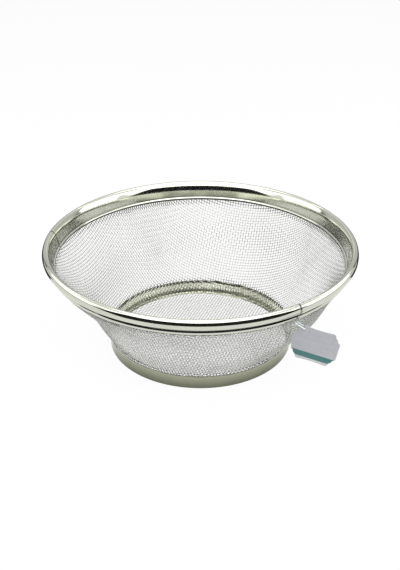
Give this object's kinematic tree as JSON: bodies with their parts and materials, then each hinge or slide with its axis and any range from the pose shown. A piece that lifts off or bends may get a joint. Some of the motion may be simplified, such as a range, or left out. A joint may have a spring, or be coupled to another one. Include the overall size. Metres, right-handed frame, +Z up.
{
  "type": "wire basket strainer",
  "caption": "Round stainless steel basket strainer: woven wire bowl with a leaning wall, hollow rolled rim, low foot ring, and a hang tag swinging on a nylon loop.",
  "frame": {"origin": "centre of the foot ring's underside, on the basket's axis", "axes": "+Z up along the basket's axis, -Y towards the picture's viewer, the hang tag at +X -Y"},
  "size_m": [0.28, 0.28, 0.1014],
  "materials": {
    "mesh_steel": "bright drawn stainless wire, plain weave",
    "rim_steel": "mirror polished stainless strip",
    "hoop_steel": "plain drawn stainless wire",
    "foot_steel": "bright rolled stainless strip",
    "tag_nylon": "translucent white nylon",
    "tag_card": "coated card, grey with a plain teal band"
  },
  "bodies": {
    "basket": {"mesh_bowl": "mesh_steel", "rim_strip_front": "rim_steel", "rim_strip_back": "rim_steel", "edge_hoop": "hoop_steel", "foot_ring": "foot_steel"},
    "loop": {"tag_loop": "tag_nylon"},
    "tag": {"hang_tag": "tag_card"}
  },
  "joints": [
    {"name": "loop_swing", "type": "hinge", "parent": "basket", "child": "loop", "pos_m": [0.0761, -0.10474, 0.08002], "axis": [-0.4683, 0.1255, -0.8746], "range_deg": [-10, 70]},
    {"name": "tag_swing", "type": "hinge", "parent": "loop", "child": "tag", "pos_m": [0.08421, -0.10692, 0.07536], "axis": [0.2588, 0.9659, 0], "range_deg": [-60, 30]}
  ]
}
